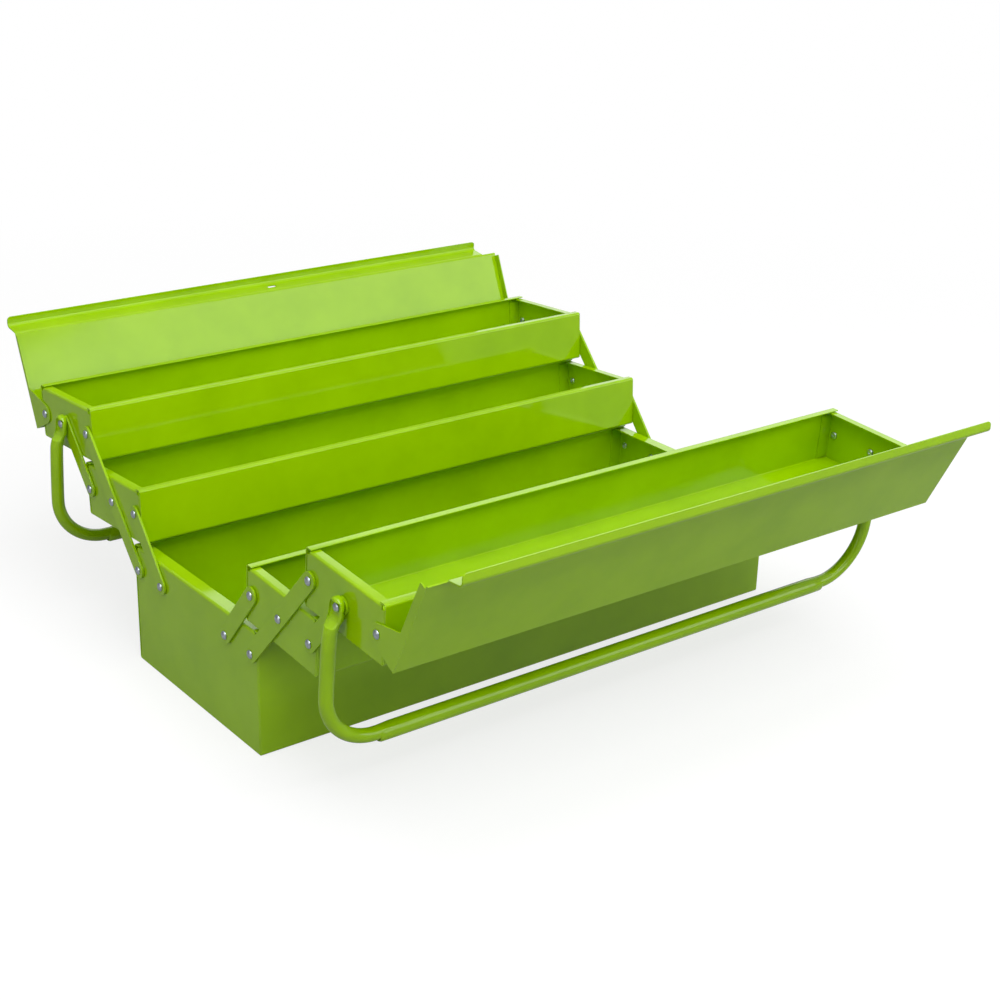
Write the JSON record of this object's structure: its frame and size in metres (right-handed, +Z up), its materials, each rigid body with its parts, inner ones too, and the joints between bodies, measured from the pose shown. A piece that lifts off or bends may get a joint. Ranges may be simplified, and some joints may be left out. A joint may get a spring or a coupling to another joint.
{
  "type": "cantilever tool box",
  "caption": "Folded sheet-steel tool box whose lidded trays swing out to both sides on flat riveted arms, with a bail handle at each side.",
  "frame": {"origin": "centre of the base's underside", "axes": "+X along the box, +Y to the back trays, +Z up"},
  "size_m": [0.5596, 0.6621, 0.2408],
  "materials": {
    "green_paint": "gloss",
    "bright_steel": "bright"
  },
  "bodies": {
    "base": {"base_trough": "green_paint", "base_end_left": "green_paint", "base_end_right": "green_paint", "base_rivets": "bright_steel"},
    "back_long_arms": {"back_long_arm_left": "green_paint", "back_long_arm_right": "green_paint"},
    "back_lower_arms": {"back_lower_arm_left": "green_paint", "back_lower_arm_right": "green_paint"},
    "back_upper_arms": {"back_upper_arm_left": "green_paint", "back_upper_arm_right": "green_paint", "back_handle_rivets": "bright_steel"},
    "back_lower_tray": {"back_lower_trough": "green_paint", "back_lower_end_left": "green_paint", "back_lower_end_right": "green_paint", "back_lower_rivets": "bright_steel"},
    "back_upper_tray": {"back_upper_trough": "green_paint", "back_upper_end_left": "green_paint", "back_upper_end_right": "green_paint", "back_upper_rivets": "bright_steel"},
    "back_lid": {"back_lid": "green_paint"},
    "back_handle": {"back_handle": "green_paint", "back_grip": "green_paint"},
    "front_long_arms": {"front_long_arm_left": "green_paint", "front_long_arm_right": "green_paint"},
    "front_lower_arms": {"front_lower_arm_left": "green_paint", "front_lower_arm_right": "green_paint"},
    "front_upper_arms": {"front_upper_arm_left": "green_paint", "front_upper_arm_right": "green_paint", "front_handle_rivets": "bright_steel"},
    "front_lower_tray": {"front_lower_trough": "green_paint", "front_lower_end_left": "green_paint", "front_lower_end_right": "green_paint", "front_lower_rivets": "bright_steel"},
    "front_upper_tray": {"front_upper_trough": "green_paint", "front_upper_end_left": "green_paint", "front_upper_end_right": "green_paint", "front_upper_rivets": "bright_steel"},
    "front_lid": {"front_lid": "green_paint"},
    "front_handle": {"front_handle": "green_paint", "front_grip": "green_paint"}
  },
  "joints": [
    {"name": "back_arms", "type": "hinge", "parent": "base", "child": "back_long_arms", "pos_m": [0, 0.09111, 0.08439], "axis": [1, 0, 0], "range_deg": [0, 83.77]},
    {"name": "back_lower_short", "type": "hinge", "parent": "base", "child": "back_lower_arms", "pos_m": [0, 0.05241, 0.08439], "axis": [1, 0, 0], "range_deg": [0, 82.02]},
    {"name": "back_lower_tilt", "type": "hinge", "parent": "back_long_arms", "child": "back_lower_tray", "pos_m": [0, 0.13355, 0.13083], "axis": [1, 0, 0], "range_deg": [-80.14, 0]},
    {"name": "back_upper_tilt", "type": "hinge", "parent": "back_long_arms", "child": "back_upper_tray", "pos_m": [0, 0.17598, 0.17727], "axis": [1, 0, 0], "range_deg": [-80.14, 0]},
    {"name": "back_upper_short", "type": "hinge", "parent": "back_lower_tray", "child": "back_upper_arms", "pos_m": [0, 0.17517, 0.12819], "axis": [1, 0, 0], "range_deg": [0, 80.14]},
    {"name": "back_lid_hinge", "type": "hinge", "parent": "back_upper_tray", "child": "back_lid", "pos_m": [0, 0.25994, 0.17034], "axis": [1, 0, 0], "range_deg": [0, 109.37]},
    {"name": "back_handle_swing", "type": "hinge", "parent": "back_upper_arms", "child": "back_handle", "pos_m": [0, 0.21761, 0.17463], "axis": [1, 0, 0], "range_deg": [-41, 99]},
    {"name": "front_arms", "type": "hinge", "parent": "base", "child": "front_long_arms", "pos_m": [0, -0.09111, 0.08439], "axis": [-1, 0, 0], "range_deg": [0, 83.77]},
    {"name": "front_lower_short", "type": "hinge", "parent": "base", "child": "front_lower_arms", "pos_m": [0, -0.05241, 0.08439], "axis": [-1, 0, 0], "range_deg": [0, 82.02]},
    {"name": "front_lower_tilt", "type": "hinge", "parent": "front_long_arms", "child": "front_lower_tray", "pos_m": [0, -0.13355, 0.13083], "axis": [-1, 0, 0], "range_deg": [-80.14, 0]},
    {"name": "front_upper_tilt", "type": "hinge", "parent": "front_long_arms", "child": "front_upper_tray", "pos_m": [0, -0.17598, 0.17727], "axis": [-1, 0, 0], "range_deg": [-80.14, 0]},
    {"name": "front_upper_short", "type": "hinge", "parent": "front_lower_tray", "child": "front_upper_arms", "pos_m": [0, -0.17517, 0.12819], "axis": [-1, 0, 0], "range_deg": [0, 80.14]},
    {"name": "front_lid_hinge", "type": "hinge", "parent": "front_upper_tray", "child": "front_lid", "pos_m": [0, -0.25994, 0.17034], "axis": [-1, 0, 0], "range_deg": [0, 112.37]},
    {"name": "front_handle_swing", "type": "hinge", "parent": "front_upper_arms", "child": "front_handle", "pos_m": [0, -0.21761, 0.17463], "axis": [-1, 0, 0], "range_deg": [-12, 95]}
  ],
  "couplings": [
    {"joint": "back_lower_short", "follows": "back_arms", "ratio": 0.9791},
    {"joint": "back_lower_tilt", "follows": "back_arms", "ratio": -0.95667},
    {"joint": "back_upper_tilt", "follows": "back_arms", "ratio": -0.95667},
    {"joint": "back_upper_short", "follows": "back_arms", "ratio": 0.95667},
    {"joint": "front_lower_short", "follows": "front_arms", "ratio": 0.9791},
    {"joint": "front_lower_tilt", "follows": "front_arms", "ratio": -0.95667},
    {"joint": "front_upper_tilt", "follows": "front_arms", "ratio": -0.95667},
    {"joint": "front_upper_short", "follows": "front_arms", "ratio": 0.95667}
  ]
}
